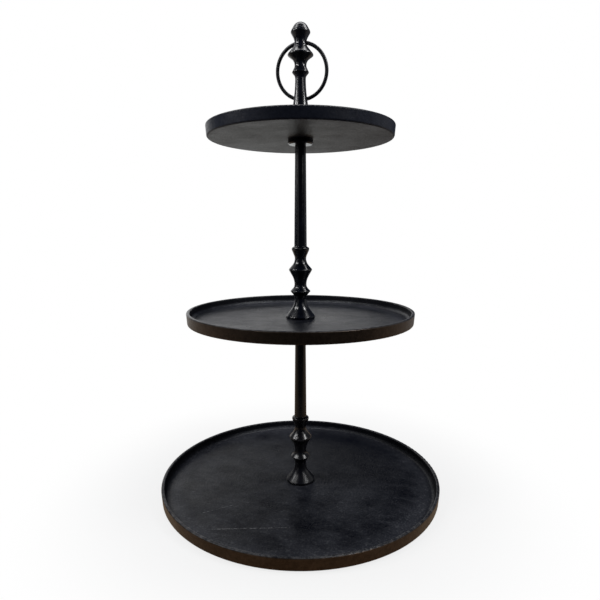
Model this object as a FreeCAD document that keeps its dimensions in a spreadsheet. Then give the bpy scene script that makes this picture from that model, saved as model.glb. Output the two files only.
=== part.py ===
"""Three-tier tray stand: three rimmed trays on two turned stems, with a finial and a carrying ring.

Millimetres, +Z up. The origin is on the stand's axis, on the surface that the pads stand on.
The ring hangs in a cross hole along X and rests against the back (+Y) of the finial.
"""
import FreeCAD
import Part
import math
import os
from enum import IntEnum

import Sketcher
from FreeCAD import Placement, Rotation, Vector

doc = FreeCAD.newDocument("TieredStand")

# Driving dimensions. The turned pieces are chains of rises from the foot up.
SIZES = {
    "bottom_tray_diameter": 501.0,
    "middle_tray_diameter": 394.5,
    "top_tray_diameter": 312.5,
    "bottom_tray_height": 21.5,
    "middle_tray_height": 20.0,
    "top_tray_height": 18.8,
    "tray_floor": 5.0,
    "tray_rim_width": 5.5,
    "tray_draft": 1.5,
    "tray_corner_round": 8.0,
    "tray_sole_round": 2.5,
    "tray_lip_round": 1.8,
    "seat_depth": 0.5,
    "seat_gap": 0.4,
    "stem_length": 294.0,
    "foot_radius": 25.5,
    "foot_edge": 3.6,
    "sole_round": 1.5,
    "neck_radius": 10.1,
    "neck_rise": 30.2,
    "lower_collar_radius": 17.3,
    "lower_collar_rise": 13.7,
    "lower_waist_radius": 10.5,
    "lower_waist_rise": 11.9,
    "main_collar_radius": 20.1,
    "main_collar_rise": 25.5,
    "upper_waist_radius": 9.9,
    "upper_waist_rise": 19.5,
    "upper_collar_radius": 15.2,
    "upper_collar_rise": 16.9,
    "rod_base_radius": 10.9,
    "rod_base_rise": 4.8,
    "rod_top_radius": 9.2,
    "disc_diameter": 42.4,
    "disc_thickness": 8.5,
    "disc_bevel": 2.0,
    "finial_foot_radius": 23.5,
    "finial_post_radius": 8.8,
    "finial_post_rise": 87.0,
    "finial_bead_radius": 13.8,
    "finial_bead_rise": 9.6,
    "finial_waist_radius": 9.7,
    "finial_waist_rise": 11.0,
    "finial_collar_radius": 21.0,
    "finial_collar_rise": 15.6,
    "finial_neck_radius": 9.8,
    "finial_neck_rise": 18.5,
    "finial_bulb_radius": 15.9,
    "finial_bulb_rise": 16.0,
    "finial_cap_rise": 15.4,
    "finial_ball_radius": 13.5,
    "finial_shoulder_round": 5.0,
    "ring_wire_diameter": 6.0,
    "ring_mean_radius": 42.5,
    "ring_seam_gap": 0.5,
    "ring_seam_angle": 30.0,
    "ring_rest_gap": 0.3,
    "ring_hole_gap": 0.5,
    "thread_diameter": 8.0,
    "thread_gap": 0.1,
    "thread_hold": 20.0,
    "thread_end_gap": 0.6,
    "bolt_hole_gap": 0.4,
    "screw_head_diameter": 16.0,
    "screw_head_gap": 0.15,
    "screw_recess": 0.2,
    "screw_key_width": 5.0,
    "screw_key_depth": 3.0,
    "pad_diameter": 22.0,
    "pad_thickness": 1.0,
    "pad_inset": 42.0,
}
PAD_COUNT = 4

# Flanks of the turned pieces from the foot up. Each ends at a radius and a rise of its own name, and the
# roundings of its ridge and its hollow are shares of the widest pair that it has room for.
STEM_FLANKS = {
    "neck": (0.03, 0.78),
    "lower_collar": (0.04, 0.81),
    "lower_waist": (0.14, 0.71),
    "main_collar": (0.05, 0.80),
    "upper_waist": (0.14, 0.71),
    "upper_collar": (0.31, 0.45),
    "rod_base": (0.60, 0.24),
}
FINIAL_FLANKS = {
    "finial_post": (0.03, 0.82),
    "finial_bead": (0.04, 0.81),
    "finial_waist": (0.13, 0.57),
    "finial_collar": (0.04, 0.81),
    "finial_neck": (0.15, 0.51),
    "finial_bulb": (0.08, 0.77),
}

sheet = doc.addObject("Spreadsheet::Sheet", "Sizes")
for row, (alias, number) in enumerate(SIZES.items(), start=1):
    sheet.set(f"A{row}", alias)
    sheet.set(f"B{row}", str(number))
    sheet.setAlias(f"B{row}", alias)
doc.recompute()


def cell(alias):
    """A driving dimension as a term of an expression."""
    return f"Sizes.{alias}"


def value(expression):
    """An expression's number, for the first drawing of what the expression then drives."""
    return float(sheet.evalExpression(expression))


def total(*aliases):
    """The sum of several driving dimensions as one term."""
    return "(" + " + ".join(cell(alias) for alias in aliases) + ")"


# Sizes that follow from the driving ones
THREAD_RADIUS = f"({cell('thread_diameter')} / 2)"
TAPPED_RADIUS = f"({THREAD_RADIUS} + {cell('thread_gap')})"
TAPPED_DEPTH = total("thread_hold", "thread_end_gap")
BOLT_HOLE_RADIUS = f"({THREAD_RADIUS} + {cell('bolt_hole_gap')})"
FOOT_RISE = f"({cell('tray_floor')} - {cell('seat_depth')})"
TIER_RISE = f"({FOOT_RISE} + {total('stem_length', 'disc_thickness')})"
WIRE_RADIUS = f"({cell('ring_wire_diameter')} / 2)"


def tray_level(tier):
    """Height of a tray's underside; tier 0 is the bottom one."""
    return f"({cell('pad_thickness')} + {tier} * {TIER_RISE})"


def foot_level(tier):
    """Height of the seat in a tray's floor, where the piece above it stands."""
    return f"({tray_level(tier)} + {FOOT_RISE})"


def room(rise, depth):
    """The widest sum of two roundings that fits a flank of some rise and depth."""
    return f"((({rise})^2 + {depth}^2) / (2 * {depth}))"


# Sketch helpers
class Spot(IntEnum):
    """A point of a drawn line or curve."""

    START = 1
    END = 2
    CENTRE = 3


class Axis(IntEnum):
    """A sketch's own axes."""

    LEVEL = -1
    UPRIGHT = -2


ORIGIN = (Axis.LEVEL, Spot.START)


def new_body(label):
    body = doc.addObject("PartDesign::Body", label)
    body.Label = label
    return body


def new_sketch(body, name, role):
    """An empty sketch on one of the body's own origin planes."""
    sketch = body.newObject("Sketcher::SketchObject", f"{body.Name}_{name}")
    plane = next(feature for feature in body.Origin.OriginFeatures if feature.Role == role)
    sketch.AttachmentSupport = [(plane, "")]
    sketch.MapMode = "FlatFace"
    return sketch


def dimension(sketch, name, expression, *constraint):
    """Adds a named dimension to a sketch and drives it from the sheet."""
    number = sketch.addConstraint(Sketcher.Constraint(*constraint, value(expression)))
    sketch.renameConstraint(number, name)
    sketch.setExpression(f"Constraints.{name}", expression)


class TurnedProfile:
    """Half the outline of a turned piece, drawn upwards from the axis at its foot.

    Sketch X is the radius and sketch Y the height. Each point has its radius and its rise above the
    point before it as dimensions, and a rise of None is a level run.
    """

    def __init__(self, sketch):
        self.sketch = sketch
        self.point = Vector(0, 0, 0)
        self.radius = "0"
        self.anchor = ORIGIN
        self.points = 0

    def after(self, radius, rise):
        """The next point on the outline."""
        climb = value(rise) if rise else 0.0
        return Vector(value(radius), self.point.y + climb, 0)

    def join(self, geometry, end):
        """Fixes one end of a new curve on the last point."""
        self.sketch.addConstraint(Sketcher.Constraint("Coincident", *self.anchor, geometry, end))

    def place(self, geometry, end, point, radius, rise):
        """Dimensions the far end of a new curve, which becomes the last point."""
        self.points += 1
        name = f"point{self.points}"
        if value(radius) > 0:
            dimension(self.sketch, f"{name}_radius", radius, "DistanceX", *ORIGIN, geometry, end)
        else:
            self.sketch.addConstraint(Sketcher.Constraint("PointOnObject", geometry, end, Axis.UPRIGHT))
        if rise:
            dimension(self.sketch, f"{name}_rise", rise, "DistanceY", *self.anchor, geometry, end)
        else:
            self.sketch.addConstraint(Sketcher.Constraint("Horizontal", *self.anchor, geometry, end))
        self.point = point
        self.radius = radius
        self.anchor = (geometry, end)

    def line(self, radius, rise=None):
        """A straight run to the next point."""
        point = self.after(radius, rise)
        geometry = self.sketch.addGeometry(Part.LineSegment(self.point, point), False)
        self.join(geometry, Spot.START)
        self.place(geometry, Spot.END, point, radius, rise)

    def arc(self, centre, radius, first, last):
        """An anticlockwise arc between two directions in radians."""
        circle = Part.Circle(centre, Vector(0, 0, 1), radius)
        return self.sketch.addGeometry(Part.ArcOfCircle(circle, first, last), False)

    def flank(self, radius, rise, ridge_share, hollow_share):
        """A hollow, a straight run and a ridge, in either order, upright at both ends."""
        point = self.after(radius, rise)
        opens = point.x > self.point.x
        depth = f"({radius} - {self.radius})" if opens else f"({self.radius} - {radius})"
        hollow_at, ridge_at = (self.point, point) if opens else (point, self.point)
        ridge_round = f"{ridge_share} * {room(rise, depth)}"
        hollow_round = f"{hollow_share} * {room(rise, depth)}"
        ridge_radius, hollow_radius = value(ridge_round), value(hollow_round)
        both = ridge_radius + hollow_radius
        across = value(depth) - both
        turn = math.atan2(across, value(rise)) + math.asin(both / math.hypot(value(rise), across))
        hollow_centre = hollow_at + Vector(hollow_radius, 0, 0)
        ridge_centre = ridge_at - Vector(ridge_radius, 0, 0)
        if opens:
            near = hollow = self.arc(hollow_centre, hollow_radius, math.pi - turn, math.pi)
            far = ridge = self.arc(ridge_centre, ridge_radius, -turn, 0)
            upright, bend = Spot.END, Spot.START
        else:
            near = ridge = self.arc(ridge_centre, ridge_radius, 0, turn)
            far = hollow = self.arc(hollow_centre, hollow_radius, math.pi, math.pi + turn)
            upright, bend = Spot.START, Spot.END
        self.join(near, upright)
        self.run_between(near, bend, far, bend)
        for curve in (near, far):
            self.sketch.addConstraint(Sketcher.Constraint("Horizontal", curve, Spot.CENTRE, curve, upright))
        dimension(self.sketch, f"ridge{ridge}_round", ridge_round, "Radius", ridge)
        dimension(self.sketch, f"hollow{hollow}_round", hollow_round, "Radius", hollow)
        self.place(far, upright, point, radius, rise)

    def run_between(self, first, first_end, last, last_end):
        """A straight run that flows out of one arc and into another."""
        begins = self.sketch.getPoint(first, first_end)
        ends = self.sketch.getPoint(last, last_end)
        run = self.sketch.addGeometry(Part.LineSegment(begins, ends), False)
        self.sketch.addConstraint(Sketcher.Constraint("Tangent", first, first_end, run, Spot.START))
        self.sketch.addConstraint(Sketcher.Constraint("Tangent", run, Spot.END, last, last_end))

    def cap(self, rise, shoulder, ball):
        """A rounded shoulder and a straight flank that runs into a ball end on the axis."""
        top = self.after("0", rise)
        shoulder_centre = self.point - Vector(value(shoulder), 0, 0)
        ball_centre = top - Vector(0, value(ball), 0)
        between = ball_centre - shoulder_centre
        lean = math.acos((value(shoulder) - value(ball)) / between.Length)
        turn = math.atan2(between.y, between.x) - lean
        near = self.arc(shoulder_centre, value(shoulder), 0, turn)
        far = self.arc(ball_centre, value(ball), turn, math.pi / 2)
        self.join(near, Spot.START)
        self.run_between(near, Spot.END, far, Spot.START)
        self.sketch.addConstraint(Sketcher.Constraint("Horizontal", near, Spot.CENTRE, near, Spot.START))
        self.sketch.addConstraint(Sketcher.Constraint("PointOnObject", far, Spot.CENTRE, Axis.UPRIGHT))
        dimension(self.sketch, "shoulder_round", shoulder, "Radius", near)
        dimension(self.sketch, "ball_round", ball, "Radius", far)
        self.place(far, Spot.END, top, "0", rise)

    def close(self):
        """Back down the axis to the foot."""
        geometry = self.sketch.addGeometry(Part.LineSegment(self.point, Vector(0, 0, 0)), False)
        self.join(geometry, Spot.START)
        self.sketch.addConstraint(Sketcher.Constraint("Coincident", *ORIGIN, geometry, Spot.END))


# Feature helpers
SAME_PLACE = 0.001


def turn(body, sketch):
    """Revolves a finished outline about the upright axis."""
    feature = body.newObject("PartDesign::Revolution", f"{body.Name}_turned")
    feature.Profile = sketch
    feature.ReferenceAxis = (sketch, ["V_Axis"])
    feature.Angle = 360
    doc.recompute()
    return feature


def level_edges(feature, radius, height):
    """Names of a feature's round edges of one radius at one height."""
    names = []
    for number, edge in enumerate(feature.Shape.Edges, start=1):
        if edge.Degenerated or not isinstance(edge.Curve, Part.Circle):
            continue
        curve = edge.Curve
        off_radius = abs(curve.Radius - value(radius))
        off_height = abs(curve.Center.z - value(height))
        if max(off_radius, off_height) < SAME_PLACE:
            names.append(f"Edge{number}")
    return names


def dress(body, kind, name, feature, edges, property_name, expression):
    """Rounds or bevels edges of the last feature."""
    dressing = body.newObject(kind, f"{body.Name}_{name}")
    dressing.Base = (feature, edges)
    dressing.setExpression(property_name, expression)
    doc.recompute()
    return dressing


def round_edges(body, name, feature, edges, expression):
    return dress(body, "PartDesign::Fillet", name, feature, edges, "Radius", expression)


def bore(body, name, role, radius, depth, height="0", upwards=False):
    """A round hole: blind and upright from a level, or right through along X at a height."""
    before = body.Shape.Volume
    sketch = new_sketch(body, f"{name}_circle", role)
    across = role == "YZ_Plane"
    centre = Vector(0, value(height), 0) if across else Vector(0, 0, 0)
    circle = sketch.addGeometry(Part.Circle(centre, Vector(0, 0, 1), value(radius)), False)
    dimension(sketch, "radius", radius, "Radius", circle)
    if across:
        sketch.addConstraint(Sketcher.Constraint("PointOnObject", circle, Spot.CENTRE, Axis.UPRIGHT))
        dimension(sketch, "height", height, "DistanceY", *ORIGIN, circle, Spot.CENTRE)
    else:
        sketch.addConstraint(Sketcher.Constraint("Coincident", *ORIGIN, circle, Spot.CENTRE))
        sketch.setExpression("AttachmentOffset.Base.z", height)
    pocket = body.newObject("PartDesign::Pocket", f"{body.Name}_{name}")
    pocket.Profile = sketch
    pocket.Type = "Length"
    pocket.SideType = "Symmetric" if across else "One side"
    pocket.setExpression("Length", depth)
    pocket.Reversed = upwards
    doc.recompute()
    if body.Shape.Volume >= before:
        raise RuntimeError(f"{pocket.Name} removed nothing")
    return pocket


def set_height(piece, expression):
    """Stands a finished piece on the axis at a height."""
    piece.setExpression("Placement.Base.z", expression)


# Trays
def make_tray(label, foot_radius, tier):
    """A cast tray with drafted walls, a soft lip, a coved corner and a shallow seat for a foot."""
    body = new_body(label)
    height = cell(f"{label}_height")
    rim = f"({cell(f'{label}_diameter')} / 2)"
    sole = f"({rim} - {cell('tray_draft')})"
    lip = f"({rim} - {cell('tray_rim_width')})"
    corner = f"({lip} - {cell('tray_draft')})"
    depth = f"({height} - {cell('tray_floor')})"
    sketch = new_sketch(body, "outline", "XZ_Plane")
    outline = TurnedProfile(sketch)
    outline.line(sole)
    outline.line(rim, height)
    outline.line(lip)
    outline.line(corner, f"-{depth}")
    outline.line("0")
    outline.close()
    tray = turn(body, sketch)
    cove = level_edges(tray, corner, cell("tray_floor"))
    tray = round_edges(body, "cove", tray, cove, cell("tray_corner_round"))
    heel = level_edges(tray, sole, "0")
    tray = round_edges(body, "heel", tray, heel, cell("tray_sole_round"))
    lips = level_edges(tray, rim, height) + level_edges(tray, lip, height)
    round_edges(body, "lip", tray, lips, cell("tray_lip_round"))
    seat_radius = f"({foot_radius} + {cell('seat_gap')})"
    bore(body, "seat", "XY_Plane", seat_radius, cell("seat_depth"), height=cell("tray_floor"))
    bore(body, "bolt_hole", "XY_Plane", BOLT_HOLE_RADIUS, cell("tray_floor"), upwards=True)
    set_height(body, tray_level(tier))
    return body


bottom_tray = make_tray("bottom_tray", cell("foot_radius"), 0)
middle_tray = make_tray("middle_tray", cell("foot_radius"), 1)
top_tray = make_tray("top_tray", cell("finial_foot_radius"), 2)

# The bottom tray's hole is countersunk from below, so that the screw's head lies flush
SEAT_RADIUS = f"({cell('screw_head_diameter')} / 2 + {cell('screw_recess')} + {cell('screw_head_gap')})"
seat = bottom_tray.newObject("PartDesign::SubtractiveCone", "bottom_tray_countersink")
seat.setExpression("Radius1", SEAT_RADIUS)
seat.setExpression("Radius2", BOLT_HOLE_RADIUS)
seat.setExpression("Height", f"{SEAT_RADIUS} - {BOLT_HOLE_RADIUS}")
doc.recompute()


# Stems
ROD_BASE = total("foot_edge", *(f"{name}_rise" for name in STEM_FLANKS))


def make_stem(label, tier):
    """A turned baluster stem: a flared foot, three collars and a tapered rod, tapped at both ends."""
    body = new_body(label)
    sketch = new_sketch(body, "outline", "XZ_Plane")
    outline = TurnedProfile(sketch)
    outline.line(cell("foot_radius"))
    outline.line(cell("foot_radius"), cell("foot_edge"))
    for name, shares in STEM_FLANKS.items():
        outline.flank(cell(f"{name}_radius"), cell(f"{name}_rise"), *shares)
    outline.line(cell("rod_top_radius"), f"{cell('stem_length')} - {ROD_BASE}")
    outline.line("0")
    outline.close()
    stem = turn(body, sketch)
    sole = level_edges(stem, cell("foot_radius"), "0")
    round_edges(body, "sole", stem, sole, cell("sole_round"))
    bore(body, "foot_thread", "XY_Plane", TAPPED_RADIUS, TAPPED_DEPTH, upwards=True)
    bore(body, "head_thread", "XY_Plane", TAPPED_RADIUS, TAPPED_DEPTH, height=cell("stem_length"))
    set_height(body, foot_level(tier))
    return body


lower_stem = make_stem("lower_stem", 0)
upper_stem = make_stem("upper_stem", 1)


# Support discs
def make_disc(label, tier):
    """A thick washer between a stem's end and the tray above it, bevelled below."""
    body = new_body(label)
    rim = f"({cell('disc_diameter')} / 2)"
    sketch = new_sketch(body, "outline", "XZ_Plane")
    outline = TurnedProfile(sketch)
    outline.line(rim)
    outline.line(rim, cell("disc_thickness"))
    outline.line("0")
    outline.close()
    disc = turn(body, sketch)
    lower_edge = level_edges(disc, rim, "0")
    dress(body, "PartDesign::Chamfer", "bevel", disc, lower_edge, "Size", cell("disc_bevel"))
    bore(body, "bolt_hole", "XY_Plane", BOLT_HOLE_RADIUS, cell("disc_thickness"), upwards=True)
    set_height(body, f"{foot_level(tier)} + {cell('stem_length')}")
    return body


lower_support_disc = make_disc("lower_support_disc", 0)
upper_support_disc = make_disc("upper_support_disc", 1)

# Finial: a trumpet-shaped post, a bead, a collar, a drilled neck and a bulb
HINGE_RISE = total("finial_bead_rise", "finial_waist_rise", "finial_collar_rise", "finial_neck_rise")
HINGE_HEIGHT = f"({total('foot_edge', 'finial_post_rise')} + {HINGE_RISE})"
# The bent wire rises by this much between the hole's mouths and its middle
WIRE_SAG = (
    f"({cell('ring_mean_radius')}"
    f" - sqrt({cell('ring_mean_radius')}^2 - {cell('finial_neck_radius')}^2))"
)
RING_HOLE_RADIUS = f"({WIRE_RADIUS} + {WIRE_SAG} / 2 + {cell('ring_hole_gap')})"

finial = new_body("finial")
finial_sketch = new_sketch(finial, "outline", "XZ_Plane")
finial_outline = TurnedProfile(finial_sketch)
finial_outline.line(cell("finial_foot_radius"))
finial_outline.line(cell("finial_foot_radius"), cell("foot_edge"))
for flank_name, flank_shares in FINIAL_FLANKS.items():
    finial_outline.flank(cell(f"{flank_name}_radius"), cell(f"{flank_name}_rise"), *flank_shares)
finial_outline.cap(cell("finial_cap_rise"), cell("finial_shoulder_round"), cell("finial_ball_radius"))
finial_outline.close()
finial_turned = turn(finial, finial_sketch)
finial_sole = level_edges(finial_turned, cell("finial_foot_radius"), "0")
round_edges(finial, "sole", finial_turned, finial_sole, cell("sole_round"))
bore(finial, "foot_thread", "XY_Plane", TAPPED_RADIUS, TAPPED_DEPTH, upwards=True)
HOLE_LENGTH = f"4 * {cell('finial_neck_radius')}"
bore(finial, "ring_hole", "YZ_Plane", RING_HOLE_RADIUS, HOLE_LENGTH, height=HINGE_HEIGHT)
set_height(finial, foot_level(2))

# Carrying ring: bent wire with a butt joint, leaning on the post behind it
RING_ARM = f"({cell('ring_mean_radius')} - {WIRE_SAG} / 2)"
RING_REACH = f"({RING_ARM} + {cell('ring_mean_radius')})"
POST_TAPER = f"({cell('finial_foot_radius')} - {cell('finial_post_radius')})"
POST_HOLLOW_SHARE = FINIAL_FLANKS["finial_post"][-1]
POST_CURVE = f"({POST_HOLLOW_SHARE} * {room(cell('finial_post_rise'), POST_TAPER)})"
POST_DROP = f"({RING_REACH} - {HINGE_RISE})"
POST_AT_RING = f"({cell('finial_post_radius')} + {POST_CURVE} - sqrt({POST_CURVE}^2 - {POST_DROP}^2))"
RING_LEAN = f"asin(({POST_AT_RING} + {WIRE_RADIUS} + {cell('ring_rest_gap')}) / {RING_REACH})"
SEAM_ANGLE = f"({cell('ring_seam_gap')} / {cell('ring_mean_radius')} * 180 / pi)"
SEAM_START = f"90 + {cell('ring_seam_angle')} + {SEAM_ANGLE} / 2"

carry_ring = new_body("carry_ring")
wire_sketch = new_sketch(carry_ring, "wire", "XY_Plane")
wire_sketch.AttachmentOffset = Placement(Vector(0, 0, 0), Rotation(Vector(0, 1, 0), value(SEAM_START)))
wire_sketch.setExpression("AttachmentOffset.Rotation.Angle", SEAM_START)
wire_centre = Vector(value(cell("ring_mean_radius")), 0, 0)
wire = wire_sketch.addGeometry(Part.Circle(wire_centre, Vector(0, 0, 1), value(WIRE_RADIUS)), False)
dimension(wire_sketch, "wire_radius", WIRE_RADIUS, "Radius", wire)
dimension(wire_sketch, "mean_radius", cell("ring_mean_radius"), "DistanceX", *ORIGIN, wire, Spot.CENTRE)
wire_sketch.addConstraint(Sketcher.Constraint("PointOnObject", wire, Spot.CENTRE, Axis.LEVEL))
bent = carry_ring.newObject("PartDesign::Revolution", "carry_ring_bent")
bent.Profile = wire_sketch
bent.ReferenceAxis = (wire_sketch, ["V_Axis"])
bent.setExpression("Angle", f"360 - {SEAM_ANGLE}")
carry_ring.Placement = Placement(Vector(0, 0, 0), Rotation(Vector(1, 0, 0), 1))
carry_ring.setExpression("Placement.Rotation.Angle", RING_LEAN)
carry_ring.setExpression("Placement.Base.y", f"{RING_ARM} * sin({RING_LEAN})")
set_height(carry_ring, f"{foot_level(2)} + {HINGE_HEIGHT} - {RING_ARM} * cos({RING_LEAN})")


# Studs through each support disc and tray, from the stem below into the piece above
def make_stud(label, tier):
    stud = doc.addObject("Part::Cylinder", label)
    stud.Label = label
    stud.setExpression("Radius", THREAD_RADIUS)
    stud.setExpression("Height", f"2 * {cell('thread_hold')} + {cell('disc_thickness')} + {FOOT_RISE}")
    set_height(stud, f"{foot_level(tier)} + {cell('stem_length')} - {cell('thread_hold')}")
    return stud


middle_stud = make_stud("middle_stud", 0)
top_stud = make_stud("top_stud", 1)

# Countersunk screw from below into the lower stem
HEAD_RADIUS = f"({cell('screw_head_diameter')} / 2)"
HEAD_HEIGHT = f"({HEAD_RADIUS} - {THREAD_RADIUS})"
base_screw = new_body("base_screw")
screw_sketch = new_sketch(base_screw, "outline", "XZ_Plane")
screw_outline = TurnedProfile(screw_sketch)
screw_outline.line(HEAD_RADIUS)
screw_outline.line(THREAD_RADIUS, HEAD_HEIGHT)
SHANK = f"{FOOT_RISE} + {cell('thread_hold')} - {cell('screw_recess')} - {HEAD_HEIGHT}"
screw_outline.line(THREAD_RADIUS, SHANK)
screw_outline.line("0")
screw_outline.close()
turn(base_screw, screw_sketch)
key_hole = base_screw.newObject("PartDesign::SubtractivePrism", "base_screw_key_hole")
key_hole.Polygon = 6
key_hole.setExpression("Circumradius", f"{cell('screw_key_width')} / sqrt(3)")
key_hole.setExpression("Height", cell("screw_key_depth"))
set_height(base_screw, f"{tray_level(0)} + {cell('screw_recess')}")

# Pads glued under the bottom tray, evenly spaced
PAD_CIRCLE = f"({cell('bottom_tray_diameter')} / 2 - {cell('pad_inset')})"
base_pads = []
for index in range(PAD_COUNT):
    turned_by = 360 * (index + 0.5) / PAD_COUNT
    pad = doc.addObject("Part::Cylinder", f"base_pad_{index + 1}")
    pad.Label = f"base_pad_{index + 1}"
    pad.setExpression("Radius", f"{cell('pad_diameter')} / 2")
    pad.setExpression("Height", cell("pad_thickness"))
    pad.setExpression("Placement.Base.x", f"{PAD_CIRCLE} * cos({turned_by} deg)")
    pad.setExpression("Placement.Base.y", f"{PAD_CIRCLE} * sin({turned_by} deg)")
    base_pads.append(pad)

# Every piece is sound before any is written
doc.recompute()
for item in doc.Objects:
    if "Invalid" in item.State or "Error" in item.State:
        raise RuntimeError(f"{item.Label} failed: {item.State}")

pieces = [bottom_tray, middle_tray, top_tray, lower_stem, upper_stem]
pieces += [lower_support_disc, upper_support_disc, finial, carry_ring]
pieces += [middle_stud, top_stud, base_screw] + base_pads
for piece in pieces:
    if piece.Shape.isNull() or not piece.Shape.isValid() or len(piece.Shape.Solids) != 1:
        raise RuntimeError(f"{piece.Label} is not one sound solid")

os.makedirs("parts", exist_ok=True)
for piece in pieces:
    piece.Shape.exportStep(f"parts/{piece.Label}.step")
    box = piece.Shape.optimalBoundingBox()
    print(f"{piece.Label}: {piece.Shape.Volume:.1f} mm3, z {box.ZMin:.2f} to {box.ZMax:.2f}")
print(f"ring hinge at {value(foot_level(2)) + value(HINGE_HEIGHT):.4f}")
print(f"ring leans {value(RING_LEAN):.4f} degrees")
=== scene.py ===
# %% [markdown]
# # A three-tier tray stand
# Three cast trays stand on two turned stems, with a finial and a carrying ring on top. The engineering
# model already has every shape, so this lesson dresses it: a camera at the picture's viewpoint, the
# finishes, the small rubber pads underneath, and a plain studio with soft lamps.

# %% Load the frame
import bmesh
import bpy
import math
from mathutils import Matrix, Vector
from types import SimpleNamespace


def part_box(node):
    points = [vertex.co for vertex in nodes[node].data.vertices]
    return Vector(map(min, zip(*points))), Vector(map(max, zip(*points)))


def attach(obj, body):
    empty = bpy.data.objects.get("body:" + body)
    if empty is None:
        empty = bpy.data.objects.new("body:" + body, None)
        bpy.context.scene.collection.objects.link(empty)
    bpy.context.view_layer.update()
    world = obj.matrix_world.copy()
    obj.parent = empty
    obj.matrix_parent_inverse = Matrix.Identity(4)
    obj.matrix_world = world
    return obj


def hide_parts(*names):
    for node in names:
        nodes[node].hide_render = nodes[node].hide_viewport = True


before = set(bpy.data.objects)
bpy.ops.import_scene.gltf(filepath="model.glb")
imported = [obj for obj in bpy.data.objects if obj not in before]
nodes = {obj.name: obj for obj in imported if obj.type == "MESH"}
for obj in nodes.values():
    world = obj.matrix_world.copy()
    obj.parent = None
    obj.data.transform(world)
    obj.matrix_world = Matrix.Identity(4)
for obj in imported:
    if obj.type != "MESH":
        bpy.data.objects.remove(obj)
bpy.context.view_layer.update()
MM = 0.001
print("nodes", sorted(nodes))

# %% [markdown]
# ## Camera
# The picture looks slightly down at the stand from less than a metre away: the bottom tray shows its
# floor, the middle one a thin ellipse and the top one its underside. That strong change with height
# fixes the eye's height and distance. A long lens from further off would flatten the three ellipses,
# so the lens is a moderate wide one, and a small shift keeps the stand's place in the frame.

# %% Camera
EYE_DISTANCE = 0.8634
EYE_HEIGHT = 0.465
EYE_TURN = math.radians(18)
LOOK_DOWN = math.radians(9.352)
FACING = Matrix.Rotation(EYE_TURN, 3, "Z")


def seen(right, away, up):
    """A place as the picture shows it: to the right of the stand, behind it and above the floor."""
    return FACING @ Vector((right, away, up))


bpy.ops.object.select_all(action="DESELECT")
bpy.ops.object.camera_add(
    location=seen(0, -EYE_DISTANCE, EYE_HEIGHT),
    rotation=(math.pi / 2 - LOOK_DOWN, 0, EYE_TURN),
)
camera = bpy.context.object
camera.name = "photo_camera"
camera.data.lens = 29.71
camera.data.sensor_width = 36
camera.data.shift_x = -0.0008
camera.data.shift_y = 0.02
bpy.context.scene.camera = camera
bpy.context.scene.view_settings.view_transform = "Standard"
print("camera at", [round(value, 3) for value in camera.location])

# %% [markdown]
# ## Writing finishes as sums
# A finish is a network of small nodes. It could be wired by hand in the shader editor, but a large one
# hides the idea. Here a thin wrapper round a socket lets the network be written as arithmetic, and one
# method adds any node by its type, its settings and its inputs.


# %% Numbers that change over a surface
class Value:
    """A number that changes over a surface; arithmetic on it adds Math nodes to its finish."""

    def __init__(self, finish, socket):
        self.finish = finish
        self.socket = socket

    def math(self, operation, first, second=0.0):
        return self.finish.node("Math", {"operation": operation}, {0: first, 1: second})

    def __add__(self, other):
        return self.math("ADD", self, other)

    def __sub__(self, other):
        return self.math("SUBTRACT", self, other)

    def __rsub__(self, other):
        return self.math("SUBTRACT", other, self)

    def __mul__(self, other):
        return self.math("MULTIPLY", self, other)

    def __truediv__(self, other):
        return self.math("DIVIDE", self, other)

    def __pow__(self, other):
        return self.math("POWER", self, other)

    __radd__ = __add__
    __rmul__ = __mul__

    def larger(self, other):
        return self.math("MAXIMUM", self, other)

    def zigzag(self, half):
        """A straight rise and fall that repeats; half is half a repeat, and the peaks are 1."""
        return self.math("PINGPONG", self, half) / half

    def rise(self, low, high):
        """0 below low, 1 above high and smooth between; low above high gives a fall."""
        ends = (0.0, 1.0) if low < high else (1.0, 0.0)
        inputs = dict(enumerate((self, min(low, high), max(low, high), *ends)))
        return self.finish.node("MapRange", {"interpolation_type": "SMOOTHSTEP"}, inputs)

    def near(self, centre, reach):
        """1 at a value, fading to 0 at a distance from it."""
        return self.math("ABSOLUTE", self - centre).rise(reach, 0.0)


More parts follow.
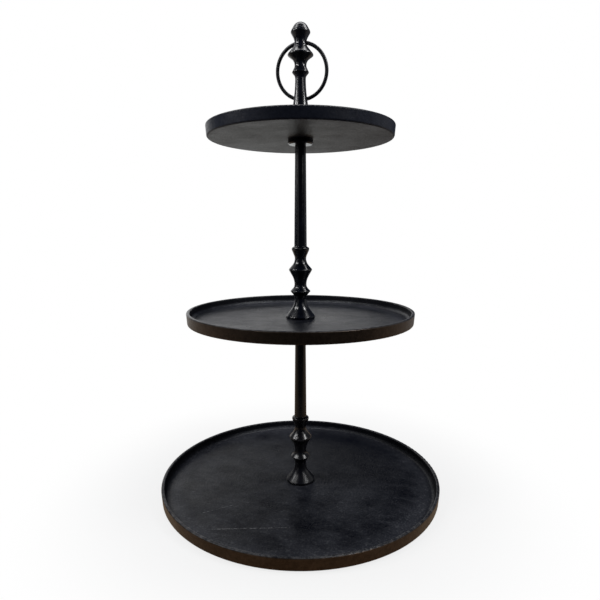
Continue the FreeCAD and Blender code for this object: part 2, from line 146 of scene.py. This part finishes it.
# %% Finishes
class Finish:
    """The node network of a material, or of the room round the stand."""

    def __init__(self, owner):
        owner.use_nodes = True
        self.owner = owner
        self.tree = owner.node_tree
        self.tree.nodes.clear()

    def node(self, kind, settings=None, inputs=None, output=0):
        """Adds a node, sets it up, fills its inputs and gives one of its outputs, if it has any."""
        node = self.tree.nodes.new("ShaderNode" + kind)
        for key, setting in (settings or {}).items():
            setattr(node, key, setting)
        named = {place.identifier: place for place in node.inputs}
        for key, item in (inputs or {}).items():
            place = node.inputs[key] if isinstance(key, int) else named[key]
            if isinstance(item, Value):
                self.tree.links.new(item.socket, place)
            else:
                place.default_value = item
        return Value(self, node.outputs[output]) if node.outputs else None

    def split(self, vector):
        """The three parts of a vector."""
        separated = self.node("SeparateXYZ", inputs={"Vector": vector}).socket.node
        return [Value(self, part) for part in separated.outputs]

    def place(self, turn=(0, 0, 0), scale=(1, 1, 1)):
        """Where a point lies on the piece, turned and stretched for a pattern."""
        point = self.node("TexCoord", output="Object")
        return self.node("Mapping", inputs={"Vector": point, "Rotation": turn, "Scale": scale})

    def axes(self):
        """A point's distance from the stand's axis, and its height."""
        x, y, z = self.split(self.node("TexCoord", output="Object"))
        return (x * x + y * y) ** 0.5, z

    def streak(self, start, end, width):
        """A thin mark from one place to another on a level face, such as a scratch."""
        run = Vector(end) - Vector(start)
        inputs = {
            "Vector": self.node("TexCoord", output="Object"),
            "Location": (*start, 0),
            "Rotation": (0, 0, math.atan2(run.y, run.x)),
            "Scale": (run.length, 1, 1),
        }
        along, across, _ = self.split(self.node("Mapping", {"vector_type": "TEXTURE"}, inputs))
        return across.near(0, width) * along.rise(0, 0.12) * along.rise(1, 0.8)

    def spot(self, centre, reach):
        """A round patch on a level face, 1 at its centre and 0 at its reach."""
        x, y, _ = self.split(self.node("TexCoord", output="Object"))
        across, along = x - centre[0], y - centre[1]
        return ((across * across + along * along) ** 0.5).rise(reach, 0.0)

    def noise(self, scale, detail, rough, stretch=(1, 1, 1), turn=(0, 0, 0)):
        """A cloudy pattern from 0 to 1; scale is in patches per metre."""
        where = self.place(turn, stretch)
        inputs = {"Vector": where, "Scale": scale, "Detail": detail, "Roughness": rough}
        return self.node("TexNoise", inputs=inputs)

    def stripes(self, along, scale, detail):
        """Irregular bands from 0 to 1 along one value, such as turning marks up a rod."""
        inputs = {"W": along * scale, "Scale": 1.0, "Detail": detail}
        return self.node("TexNoise", {"noise_dimensions": "1D"}, inputs)

    def blend(self, amount, first, second):
        """One colour passing into another."""
        settings = {"data_type": "RGBA", "clamp_factor": True}
        inputs = {"Factor_Float": amount, "A_Color": first, "B_Color": second}
        return self.node("Mix", settings, inputs, output=2)

    def bump(self, height, depth, over=None):
        """Raises the surface by height times depth, in metres, over any bump below it."""
        inputs = {"Height": height, "Distance": depth, "Strength": 1.0}
        if over is not None:
            inputs["Normal"] = over
        return self.node("Bump", inputs=inputs)

    def close(self, surface, output="OutputMaterial"):
        """Ends the network with its output and gives the finished material."""
        self.node(output, inputs={"Surface": surface})
        return self.owner

    def shader(self, inputs):
        return self.close(self.node("BsdfPrincipled", inputs=inputs))


def paint(node, material):
    """Gives a frame node its finish."""
    for slot in nodes[node].material_slots:
        slot.material = material
    print(node, "gets", material.name, "of", len(material.node_tree.nodes), "nodes")


# %% [markdown]
# ## Cast trays
# Each tray is sand-cast aluminium with a thin black coat. The coat is nearly black, but it is not even:
# the casting's grain shows through, wiping has left smoky and glossy patches and faint rings, and the
# corner under the rim is lighter with dust and painted sheen. The inner wall of the rim is darker with
# painted shade, the bottom tray's floor has a painted shadow at the back right, and the lip is painted
# lighter, partly as rubbed wear and partly as its edge highlight. The outer walls of the lower two trays
# carry a painted reflection of a warm brown floor. Separate materials for floor, wall and lip would meet
# in hard lines, so a point's distance from the axis and its height say which part it is on, and one
# network serves all.


# %% Parts of a tray
def tray_parts(finish, node, sheen_spot):
    """Masks for the outer wall, the lip, the underside, the corner with dust and painted sheen, and the
    inner wall with painted shade.
    """
    low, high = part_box(node)
    rim, sole, top = high[0], low[2], high[2]
    radius, height = finish.axes()
    wall = radius.rise(rim - 4.5 * MM, rim - 2.5 * MM) * height.rise(top - 0.4 * MM, top - 2 * MM)
    below_lip = height.rise(top - 1.2 * MM, top - 3 * MM)
    inner = radius.rise(rim - 13 * MM, rim - 7 * MM) * below_lip * (1 - wall)
    on_floor = height.rise(top - 8 * MM, top - 12 * MM)
    # Dust and painted sheen: the corner under the rim is lighter, with the most sheen at one spot.
    dust_and_sheen = radius.rise(rim - 50 * MM, rim - 14 * MM) * on_floor * (1 - wall)
    unshaded_corner = dust_and_sheen * finish.spot(*sheen_spot) if sheen_spot else dust_and_sheen
    return SimpleNamespace(
        wall=wall,
        lip=height.rise(top - 1.6 * MM, top - 0.3 * MM),
        under=height.rise(sole + 2.2 * MM, sole + 0.6 * MM),
        dust_and_sheen=dust_and_sheen,
        # Painted shade: the inner wall loses its haze and so is darker, except in the unshaded corner;
        # it is also rougher.
        shaded_inner=inner * (1 - unshaded_corner),
    )


def tray_marks(finish):
    """The casting's grain and pits, and the coat's smoke, wisps, wiped patches and faint rings."""
    radius, _ = finish.axes()
    return SimpleNamespace(
        grain=finish.noise(330, 3, 0.7),
        pits=finish.noise(140, 3, 0.6),
        smoke=finish.noise(13, 6, 0.62),
        wisps=finish.noise(34, 5, 0.62, stretch=(1, 2.4, 1), turn=(0, 0, 0.5)),
        wiped=finish.noise(19, 5, 0.66, stretch=(1, 1.7, 1), turn=(0, 0, -0.4)),
        rings=finish.stripes(radius, 300, 3),
    )


# %% Colour of a tray
COAT_BLACK = (0.0010, 0.0016, 0.0042, 1)
COAT_HAZE = (0.0200, 0.0215, 0.0275, 1)
GRAIN_TONE = (0.075, 0.078, 0.086, 1)
SCRATCH_TONE = (0.19, 0.19, 0.195, 1)
WEAR_AND_HIGHLIGHT_TONE = (0.08, 0.08, 0.082, 1)


def tray_colour(finish, parts, marks, haze_and_painted_light, walls, scratches):
    """A hazy, specked and scratched coat inside, a wall tone that on the lower trays is a painted
    reflection, and a lip painted lighter for wear and its edge highlight.
    """
    colour = finish.blend(haze_and_painted_light, COAT_BLACK, COAT_HAZE)
    speck = marks.grain.rise(0.53, 0.68) * 0.6 + marks.pits.rise(0.55, 0.68) * 0.4
    speck = speck * (1 - parts.under) * (0.15 + 0.85 * haze_and_painted_light)
    colour = finish.blend(speck, colour, GRAIN_TONE)
    broken = marks.grain.rise(0.4, 0.6)
    for begins, ends, width in scratches:
        scratch = finish.streak(begins, ends, width) * broken * marks.wisps.rise(0.32, 0.5)
        colour = finish.blend(scratch, colour, SCRATCH_TONE)
    mottle = (marks.pits * 0.6 + marks.smoke * 0.4).rise(0.38, 0.62)
    # The wall's tone; on the lower trays it is a painted reflection of a brown floor.
    colour = finish.blend(parts.wall, colour, finish.blend(mottle, *walls))
    # The lip is painted lighter: rubbed wear, and a painted highlight along its edge.
    wear_and_highlight = parts.lip * marks.pits.rise(0.36, 0.62) * (0.35 + 0.65 * broken)
    return finish.blend(wear_and_highlight * 0.75, colour, WEAR_AND_HIGHLIGHT_TONE)


# %% Cast tray finish
def cast_tray(node, walls, wall_metal, scratches=(), darker=(), sheen_spot=None):
    """A tray's finish; its walls pass between two tones, and its spots of painted shadow have less haze
    and gloss.
    """
    finish = Finish(bpy.data.materials.new(f"{node}_cast_black"))
    parts = tray_parts(finish, node, sheen_spot)
    marks = tray_marks(finish)
    # The haze mixes real haze and dust with painted sheen, painted shade and painted shadow.
    haze_and_painted_light = marks.smoke.rise(0.38, 0.69) * 0.65 + marks.wisps.rise(0.40, 0.69) * 0.35
    # Dust and painted sheen lighten the corner, and painted shade darkens the inner wall.
    haze_and_painted_light = (haze_and_painted_light + 0.75 * parts.dust_and_sheen) * (1 - 0.9 * parts.shaded_inner)
    gloss = marks.wiped.rise(0.31, 0.71) * (0.45 + 0.55 * marks.grain.rise(0.36, 0.62))
    gloss = gloss * (1 - 0.7 * parts.wall) * (1 - parts.under) * (1 - 0.8 * parts.shaded_inner)
    # Painted shadow: each spot takes haze and gloss away, so the floor is darker there.
    for patch in darker:
        painted_shadow = finish.spot(*patch)
        haze_and_painted_light = haze_and_painted_light * (1 - 0.95 * painted_shadow)
        gloss = gloss * (1 - 0.8 * painted_shadow)
    uneven = 0.28 * (marks.smoke - 0.5) + 0.14 * (marks.wisps - 0.5)
    uneven = uneven + 0.08 * (marks.rings - 0.5) + 0.24 * (marks.grain - 0.5)
    casting = finish.bump(marks.grain + 0.6 * marks.pits, 0.3 * MM)
    return finish.shader(
        {
            "Base Color": tray_colour(finish, parts, marks, haze_and_painted_light, walls, scratches),
            "Roughness": 0.34 + uneven + 0.12 * parts.under + 0.35 * parts.shaded_inner,
            "Metallic": parts.wall * wall_metal if wall_metal else 0.0,
            "Specular IOR Level": 0.13,
            "Coat Weight": 0.34 * gloss,
            "Coat Roughness": 0.30,
            "Normal": finish.bump(marks.smoke + 0.12 * marks.rings, 1.2 * MM, casting),
        }
    )


# %% Paint the trays
SCRATCHES = (
    ((-0.0917, -0.196), (0.0398, -0.1477), 1.2 * MM),
    ((-0.1212, -0.159), (-0.0782, -0.1164), 1.0 * MM),
)
# A painted shadow on the bottom tray's floor at the back right, under the middle tray.
SHADOW_SPOTS = (((0.05, 0.155), 0.20),)
# A spot of painted sheen in the bottom tray's corner at the back left, where the inner wall gets no
# painted shade.
SHEEN_SPOT = ((-0.045, 0.215), 0.24)
# Painted reflection of a warm brown floor on the lower trays' outer walls; the top tray keeps a blue
# black.
BROWN_REFLECTION = ((0.039, 0.0255, 0.0165, 1), (0.060, 0.040, 0.027, 1))
DULL_BROWN_REFLECTION = ((0.040, 0.028, 0.021, 1), (0.058, 0.041, 0.030, 1))
BLUE_BLACK = ((0.0110, 0.0132, 0.0215, 1), (0.0160, 0.0188, 0.0290, 1))
paint("bottom_tray", cast_tray("bottom_tray", BROWN_REFLECTION, 0.85, SCRATCHES, SHADOW_SPOTS, SHEEN_SPOT))
paint("middle_tray", cast_tray("middle_tray", DULL_BROWN_REFLECTION, 0.7))
paint("top_tray", cast_tray("top_tray", BLUE_BLACK, 0.0))

# %% [markdown]
# ## Turned stems, discs, finial and ring
# The stems and the finial were turned on a lathe and blackened, and they are glossier than the trays.
# Fine turning lines run round them, the hand-held tool has left slow waves, and the coat is thin on the
# sharp ridges of the collars. An edge-wear node would find every edge, also the hidden ones, but the
# ridges' heights are known, so the wear is put there by height. The ring is drawn wire, duller than the
# rest. All carry one black coat, but the finial and ring get a lighter copy of it, painted light for the
# overhead light on top, and the lower stem a warmer copy, a painted reflection of a brown floor.

# %% Turned finish
RIDGE_TONE = (0.05, 0.05, 0.05, 1)


def turned_black(name, shade, polish, ridges=()):
    """Lathe-turned black; polish is its roughness, and each ridge is a height and a radius."""
    finish = Finish(bpy.data.materials.new(name))
    radius, height = finish.axes()
    lines = finish.stripes(height, 1500, 2)
    waves = finish.noise(75, 2, 0.5)
    patches = finish.noise(190, 3, 0.6)
    thin_coat = (*(2.2 * part for part in shade[:3]), 1)
    colour = finish.blend(waves.rise(0.35, 0.7), shade, thin_coat)
    for level, outer in ridges:
        ridge = height.near(level, 2.2 * MM) * radius.rise(outer - 3 * MM, outer - 0.6 * MM)
        colour = finish.blend(ridge * patches.rise(0.38, 0.66) * 0.55, colour, RIDGE_TONE)
    turning = finish.bump(lines, 0.007 * MM)
    return finish.shader(
        {
            "Base Color": colour,
            "Roughness": polish + 0.10 * (waves - 0.5) + 0.06 * (patches - 0.5),
            "Specular IOR Level": 0.5,
            "Normal": finish.bump(waves, 0.24 * MM, turning),
        }
    )


# %% Paint the turned pieces
STEM_RIDGES = ((0.0475, 0.0173), (0.0849, 0.0201), (0.1213, 0.0152))
FINIAL_RIDGES = ((0.1002, 0.0138), (0.1268, 0.021), (0.1613, 0.0159))
BLACK = (0.0006, 0.0011, 0.0030, 1)
# A warmer copy of the black for the lower stem: a painted reflection of a brown floor.
FLOOR_REFLECTING_BLACK = (0.0014, 0.0013, 0.0024, 1)
# A lighter copy of the black for the finial and ring: painted light for the overhead light on top, which
# the stems under the trays miss.
TOP_LIT_BLACK = (0.0020, 0.0026, 0.0050, 1)


def paint_turned(node, shade, polish, ridges):
    """Gives a turned piece its finish; its ridges are measured up from its foot."""
    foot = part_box(node)[0][2]
    raised = [(foot + level, outer) for level, outer in ridges]
    paint(node, turned_black(f"{node}_black", shade, polish, raised))


paint_turned("lower_stem", FLOOR_REFLECTING_BLACK, 0.28, STEM_RIDGES)
paint_turned("upper_stem", BLACK, 0.22, STEM_RIDGES)
paint_turned("finial", TOP_LIT_BLACK, 0.22, FINIAL_RIDGES)
disc_black = turned_black("disc_black", BLACK, 0.20)
paint("lower_support_disc", disc_black)
paint("upper_support_disc", disc_black)
paint("carry_ring", turned_black("ring_black", TOP_LIT_BLACK, 0.40))

# %% [markdown]
# ## Zinc and rubber
# Two studs and a screw from below hold the stand together. They are zinc-plated steel with a thread,
# and the solids are smooth, so the thread is a zigzag along the height that bumps only the outer skin.
# A modelled helix would cost many faces on pieces that are hidden once the stand is assembled. The
# pads are matt rubber, scuffed lighter in places.

# %% Zinc and rubber
HALF_PITCH = 0.625 * MM


def zinc_thread():
    finish = Finish(bpy.data.materials.new("zinc_thread"))
    radius, height = finish.axes()
    stain = finish.noise(120, 4, 0.6)
    thread = height.zigzag(HALF_PITCH) * radius.rise(3.8 * MM, 3.95 * MM)
    dull, bright = (0.42, 0.42, 0.4, 1), (0.56, 0.56, 0.55, 1)
    return finish.shader(
        {
            "Base Color": finish.blend(stain.rise(0.3, 0.7), dull, bright),
            "Metallic": 1.0,
            "Roughness": 0.34 + 0.2 * (stain - 0.5),
            "Normal": finish.bump(thread, 0.6 * MM),
        }
    )


def black_rubber():
    finish = Finish(bpy.data.materials.new("black_rubber"))
    scuff = finish.noise(260, 4, 0.6)
    darker, scuffed = (0.018, 0.018, 0.019, 1), (0.04, 0.039, 0.038, 1)
    return finish.shader(
        {
            "Base Color": finish.blend(scuff.rise(0.45, 0.75), darker, scuffed),
            "Roughness": 0.8 + 0.2 * (scuff - 0.5),
            "Specular IOR Level": 0.3,
            "Normal": finish.bump(scuff, 0.1 * MM),
        }
    )


zinc = zinc_thread()
for name in ("middle_stud", "top_stud", "base_screw"):
    paint(name, zinc)
rubber = black_rubber()
print("pads will get", rubber.name)

# %% [markdown]
# ## Rubber pads
# Four glued pads keep the bottom tray off the table. A plain disc would look stamped out of sheet, while
# a moulded pad has a rounded lower edge and a shallow dish in its sole. One is shaped from a cylinder by
# a bevel, two insets and a small lift, and the others are copies of it moved to their places.


# %% Selecting and measuring
def choose(mesh_part, test):
    """Selects, in edit mode, the faces or edges that pass a test."""
    mesh = bmesh.from_edit_mesh(bpy.context.object.data)
    for vertex in mesh.verts:
        vertex.select = False
    mesh.select_flush(False)
    for item in getattr(mesh, mesh_part):
        if test(item):
            item.select_set(True)
    bmesh.update_edit_mesh(bpy.context.object.data)


def pad_place(number):
    """The centre and the size of a pad in the frame."""
    low, high = (Vector(corner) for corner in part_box(f"base_pad_{number}"))
    return (low + high) / 2, high - low


centre, size = pad_place(1)
print("pad size", [round(part, 4) for part in size])

# %% One pad
EDGE_ROUND = 0.5 * MM
SOLE_MARGIN = 2.5 * MM
DISH_SLOPE = 0.6 * MM
DISH_DEPTH = 0.3 * MM
bpy.ops.object.select_all(action="DESELECT")
bpy.ops.mesh.primitive_cylinder_add(vertices=64, radius=size.x / 2, depth=size.z, location=centre)
pad = bpy.context.object
pad.name = "rubber_pad_1"
bpy.ops.object.transform_apply(location=True, rotation=True, scale=True)
bpy.ops.object.mode_set(mode="EDIT")
bpy.ops.mesh.select_mode(type="EDGE")
sole_level = centre.z - size.z / 2
choose("edges", lambda edge: all(abs(vertex.co.z - sole_level) < 1e-5 for vertex in edge.verts))
bpy.ops.mesh.bevel(offset=EDGE_ROUND, segments=4, affect="EDGES")
bpy.ops.mesh.select_mode(type="FACE")
choose("faces", lambda face: face.normal.z < -0.99)
bpy.ops.mesh.inset(thickness=SOLE_MARGIN)
bpy.ops.mesh.inset(thickness=DISH_SLOPE)
bpy.ops.transform.translate(value=(0, 0, DISH_DEPTH))
bpy.ops.object.mode_set(mode="OBJECT")
bpy.ops.object.shade_smooth_by_angle(angle=math.radians(40))
pad.data.materials.clear()
pad.data.materials.append(rubber)
print("one pad has", len(pad.data.polygons), "faces")

# %% Four pads
pads = [pad]
for number in (2, 3, 4):
    bpy.ops.object.select_all(action="DESELECT")
    pad.select_set(True)
    bpy.context.view_layer.objects.active = pad
    bpy.ops.object.duplicate(linked=False)
    copy = bpy.context.object
    copy.name = f"rubber_pad_{number}"
    bpy.ops.transform.translate(value=pad_place(number)[0] - centre)
    bpy.ops.object.transform_apply(location=True, rotation=True, scale=True)
    pads.append(copy)
for number, piece in enumerate(pads, start=1):
    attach(piece, "stand")
    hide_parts(f"base_pad_{number}")
print("pads", [piece.name for piece in pads])

# %% [markdown]
# ## Paper floor
# The stand is black, so what it shows is mostly what it reflects. It stands on white paper that starts
# in front of it and runs far behind it, and the viewer's side is dark. A lit white floor would need so
# much light that the black would turn grey, so the paper glows white for the camera and for reflections
# instead. Near the stand the glow is weaker, so the paper still takes its soft shadow, and there it
# reflects as a warm grey, which gives the lower walls and rod their brown.

# %% Paper floor
PAPER_FRONT = 0.34
WHITE = (1, 1, 1, 1)
DARK_FLOOR = (0.03, 0.03, 0.03, 1)
PAPER = (0.7, 0.7, 0.7, 1)
NEAR_PAPER = (0.36, 0.27, 0.19, 1)
FAR_PAPER = (0.96, 1, 1, 1)
FAR_RIGHT = (0.30, 0.30, 0.31, 1)
FAR_LEFT = (0.42, 0.40, 0.38, 1)
bpy.ops.object.select_all(action="DESELECT")
bpy.ops.mesh.primitive_circle_add(
    vertices=96, radius=6, fill_type="NGON", location=(0, 0, -0.2 * MM)
)
floor = bpy.context.object
floor.name = "studio_floor"
paper = Finish(bpy.data.materials.new("paper_floor"))
radius, _ = paper.axes()
right, away, _ = paper.split(paper.place(turn=(0, 0, -EYE_TURN)))
print("floor", floor.name, [round(part, 2) for part in floor.dimensions])

# %% Paper finish
on_paper = (away + PAPER_FRONT).rise(-0.05, 0.05)
to_camera = paper.node("LightPath", output="Is Camera Ray")
to_mirror = paper.node("LightPath", output="Is Glossy Ray")
to_mirror = to_mirror.larger(paper.node("LightPath", output="Is Transmission Ray"))
sheet = paper.blend(on_paper.larger(to_camera), DARK_FLOOR, PAPER)
cloth = paper.node("BsdfDiffuse", inputs={"Color": sheet})
far = paper.blend(right.rise(-0.3, 0.9), FAR_PAPER, FAR_RIGHT)
far = paper.blend(right.rise(-0.5, -1.4), far, FAR_LEFT)
mirrored = paper.blend(radius.rise(0.7, 2.2), NEAR_PAPER, far)
shown = paper.blend(to_camera, mirrored, WHITE)
glow = paper.node("Emission", inputs={"Color": shown, "Strength": 1.0})
lift = 0.78 + 0.22 * radius.rise(0.22, 0.5)
share = (to_camera * lift).larger(to_mirror * on_paper)
floor.data.materials.append(paper.close(paper.node("MixShader", inputs={0: share, 1: cloth, 2: glow})))
print("paper of", len(paper.tree.nodes), "nodes")

# %% [markdown]
# ## Room
# The camera sees plain white behind the stand. What the black reflects is a dark room with a pale
# backdrop: a low band behind the stand, a taller panel behind it to the left, a faint glow at the right
# and a small one at the front left. Flat panels could stand there as objects, but they would get in the
# way of other views, so the room is painted on the directions of the world.

# %% Room
ROOM_DARK = (0.026, 0.032, 0.048, 1)
world = bpy.context.scene.world or bpy.data.worlds.new("studio")
bpy.context.scene.world = world
room = Finish(world)
to_camera = room.node("LightPath", output="Is Camera Ray")
way = room.node("TexCoord", output="Generated")
turned = room.node("Mapping", inputs={"Vector": way, "Rotation": (0, 0, -EYE_TURN)})
right, away, up = room.split(turned)
low_band = up.rise(0.36, 0.18) * right.rise(0.27, 0.06) * right.rise(-0.92, -0.5)
left_panel = right.rise(-0.05, -0.22) * right.rise(-0.8, -0.45) * up.rise(0.9, 0.7)
backdrop = low_band.larger(0.85 * left_panel) * away.rise(-0.05, 0.15)
front_glow = (-0.73 * right - 0.68 * away + 0.05 * up).rise(0.96, 0.99)
side_glow = right.rise(0.6, 0.95) * up.rise(0.6, 0.2) * away.rise(-0.3, 0.1)
pale = backdrop.larger(0.38 * side_glow).larger(0.36 * front_glow)
shown = room.blend(to_camera, room.blend(pale, ROOM_DARK, WHITE), WHITE)
room.close(room.node("Background", inputs={"Color": shown}), "OutputWorld")
print("room of", len(room.tree.nodes), "nodes")

# %% [markdown]
# ## Lamps
# Two soft boxes hang high to the left and right, and a smaller one in front of the left gives the turned
# pieces their crisp highlights. Two weak low ones reach under the trays' rims, and a long strip overhead
# gives the tray floors their sheen. Area lamps are used because their size sets how soft a highlight is.
# Each is given by the direction it hangs in, its size and its brightness.

# %% Lamps
LAMP_DISTANCE = 2.0
LAMP_AIM = Vector((0, 0, 0.3))
LAMPS = (
    ("left_soft_box", (-0.80, -0.08, 0.59), 0.46, 0.46, 15),
    ("front_spot", (-0.60, -0.37, 0.71), 0.28, 0.28, 34),
    ("right_soft_box", (0.70, -0.22, 0.67), 0.42, 0.42, 25),
    ("low_left_spot", (-0.91, -0.20, 0.30), 0.5, 0.5, 2.6),
    ("low_right_spot", (0.66, -0.59, 0.42), 0.5, 0.5, 4),
    ("ceiling_strip", (0.12, 0.16, 0.96), 2.4, 0.45, 6.5),
)


def soft_box(name, way, width, depth, radiance):
    """A lamp that looks at the stand from a direction, its width level with the picture."""
    back = seen(*way).normalized()
    side = (seen(1, 0, 0) - back * back.dot(seen(1, 0, 0))).normalized()
    turn = Matrix((side, back.cross(side), back)).transposed()
    bpy.ops.object.light_add(
        type="AREA", location=LAMP_AIM + back * LAMP_DISTANCE, rotation=turn.to_euler()
    )
    light = bpy.context.object
    light.name = name
    light.data.shape = "RECTANGLE"
    light.data.size, light.data.size_y = width, depth
    light.data.energy = radiance * width * depth * math.pi
    light.visible_camera = False
    print(name, round(light.data.energy, 1), "W")


for lamp in LAMPS:
    soft_box(*lamp)

# %% [markdown]
# ## Sizes
# Dressing must not change the stand's size. The last cell brings the scene up to date.

# %% Sizes and finish
bpy.context.view_layer.update()
